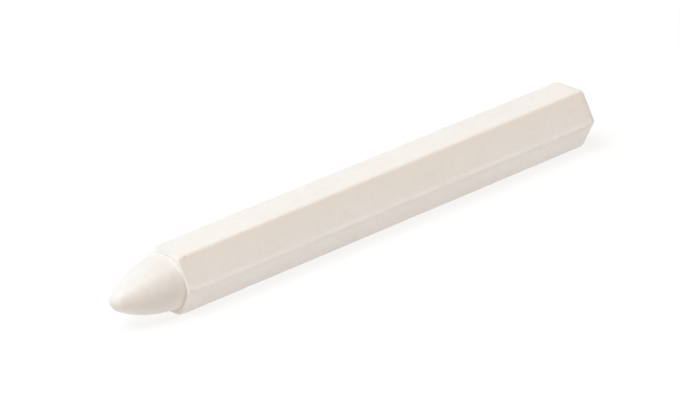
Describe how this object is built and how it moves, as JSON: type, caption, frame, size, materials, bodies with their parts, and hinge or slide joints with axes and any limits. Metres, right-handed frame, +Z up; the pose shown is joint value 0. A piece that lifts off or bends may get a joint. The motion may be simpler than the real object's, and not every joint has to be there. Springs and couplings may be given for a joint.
{
  "type": "chalk piece",
  "caption": "Hexagonal stick of white marking chalk: a smooth bullet-shaped nose steps in from the stick at a narrow ledge, and the other end is a flat butt with a rounded edge.",
  "frame": {"origin": "on the flat side that the stick lies on, halfway along its length and in the middle of its width", "axes": "+X runs along the stick from the nose to the butt, +Z points up out of the side that it lies on, and +Y runs across it"},
  "size_m": [0.12, 0.0136, 0.012],
  "materials": {
    "chalk": "matte, slightly powdery"
  },
  "bodies": {
    "root": {"chalk_stick": "chalk"}
  },
  "joints": []
}
